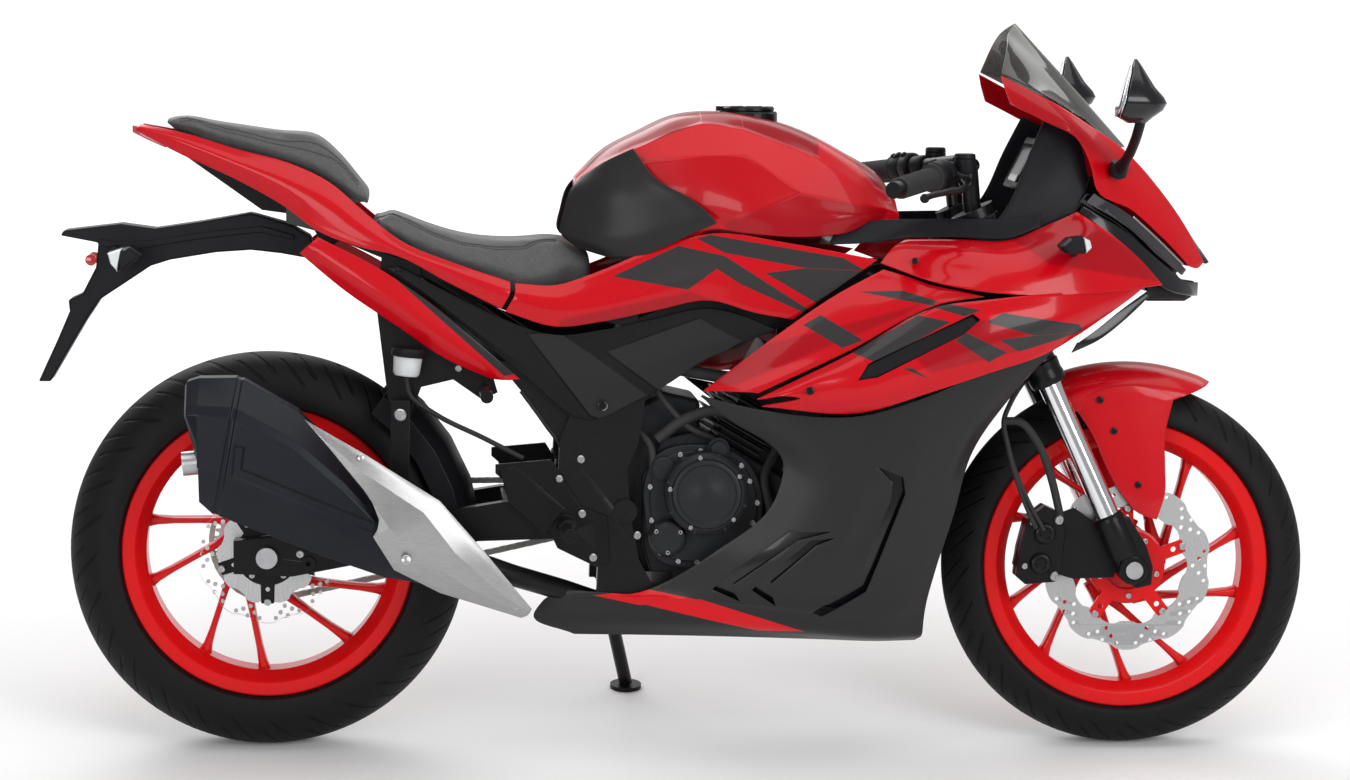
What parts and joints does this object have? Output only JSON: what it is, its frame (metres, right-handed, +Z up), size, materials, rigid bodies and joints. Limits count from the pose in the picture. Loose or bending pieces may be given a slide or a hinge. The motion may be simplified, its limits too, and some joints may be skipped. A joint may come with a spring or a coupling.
{
  "type": "sport motorcycle",
  "caption": "Fully faired single-cylinder sport motorcycle leaning on its side stand, with turning wheels, steering, side stand and fuel cap.",
  "frame": {"origin": "middle of the footprint of the whole motorcycle, on the floor", "axes": "+X forwards, +Z up, +Y to the rider's left, towards the side stand"},
  "size_m": [2.0258, 0.7364, 1.1415],
  "materials": {
    "red_paint": "gloss paint, bright red",
    "charcoal_paint": "satin dark grey paint",
    "black_plastic": "textured black plastic",
    "seat_cover": "grained grey seat vinyl",
    "tyre_rubber": "tyre rubber",
    "wheel_paint": "bright red wheel paint",
    "steel": "bare steel",
    "cast_grey": "grey painted casting",
    "frame_paint": "silver grey frame paint",
    "black_metal": "black painted metal",
    "exhaust_black": "blue black exhaust paint",
    "brushed_alloy": "brushed aluminium",
    "bright_plating": "bright plated steel",
    "grip_rubber": "ribbed grip rubber",
    "clear_lens": "clear lamp lens",
    "red_lens": "red lamp lens",
    "smoked_screen": "smoked screen"
  },
  "bodies": {
    "frame": {"beak": "black_plastic", "blade_fairings": "red_paint", "brake_reservoir": "black_plastic", "clutch_cover": "cast_grey", "cylinder_head": "cast_grey", "dash_cowls": "black_plastic", "drive_chain": "steel", "engine_case": "cast_grey", "exhaust_pipe": "steel", "frame_covers": "red_paint", "front_stay": "black_metal", "fuel_tank": "red_paint", "headlamps": "clear_lens", "heat_shield": "brushed_alloy", "hugger": "black_plastic", "instrument": "black_plastic", "knee_panels": "charcoal_paint", "lower_fairings": "charcoal_paint", "main_frame": "frame_paint", "mirrors": "black_plastic", "muffler": "exhaust_black", "nose_centre": "black_plastic", "nose_panels": "red_paint", "pillion_footrests": "black_metal", "pillion_seat": "seat_cover", "radiator": "black_metal", "rear_axle": "steel", "rear_caliper": "black_metal", "rear_fairings": "red_paint", "rear_mudguard": "black_plastic", "rear_shock": "black_metal", "rider_footrests": "brushed_alloy", "rider_seat": "seat_cover", "side_covers": "black_plastic", "subframe": "black_metal", "swingarm": "black_metal", "tail_lamp": "red_lens", "tail_panels": "red_paint", "turn_signals": "black_plastic", "upper_fairings": "red_paint", "windscreen": "smoked_screen"},
    "front_wheel": {"front_tyre": "tyre_rubber", "front_rim": "wheel_paint", "front_brake_disc": "steel"},
    "rear_wheel": {"rear_tyre": "tyre_rubber", "rear_rim": "wheel_paint", "rear_brake_disc": "steel", "rear_sprocket": "steel"},
    "steering": {"steering_yokes": "black_metal", "fork_tubes": "black_metal", "fork_legs": "bright_plating", "front_axle": "bright_plating", "handlebars": "black_metal", "grips": "grip_rubber", "hand_controls": "black_plastic", "front_mudguard": "red_paint", "front_caliper": "black_metal"},
    "side_stand": {"side_stand": "black_metal"},
    "fuel_cap": {"fuel_cap": "black_metal"}
  },
  "joints": [
    {"name": "steering", "type": "hinge", "parent": "frame", "child": "steering", "pos_m": [0.68737, -0.1125, 0.27463], "axis": [-0.4226, 0.1574, 0.8925], "range_deg": [-28, 28]},
    {"name": "front_wheel_spin", "type": "hinge", "parent": "steering", "child": "front_wheel", "pos_m": [0.72, -0.10986, 0.28961], "axis": [0, 0.9848, -0.1736], "continuous": true},
    {"name": "rear_wheel_spin", "type": "hinge", "parent": "frame", "child": "rear_wheel", "pos_m": [-0.652, -0.10622, 0.31029], "axis": [0, 0.9848, -0.1736], "continuous": true},
    {"name": "side_stand", "type": "hinge", "parent": "frame", "child": "side_stand", "pos_m": [-0.112, 0.0246, 0.23442], "axis": [-0.158, 0.9724, -0.1715], "range_deg": [0, 95]},
    {"name": "fuel_cap", "type": "hinge", "parent": "frame", "child": "fuel_cap", "pos_m": [0.055, 0.01626, 1.00488], "axis": [0, 0.9848, -0.1736], "range_deg": [-85, 0]}
  ]
}
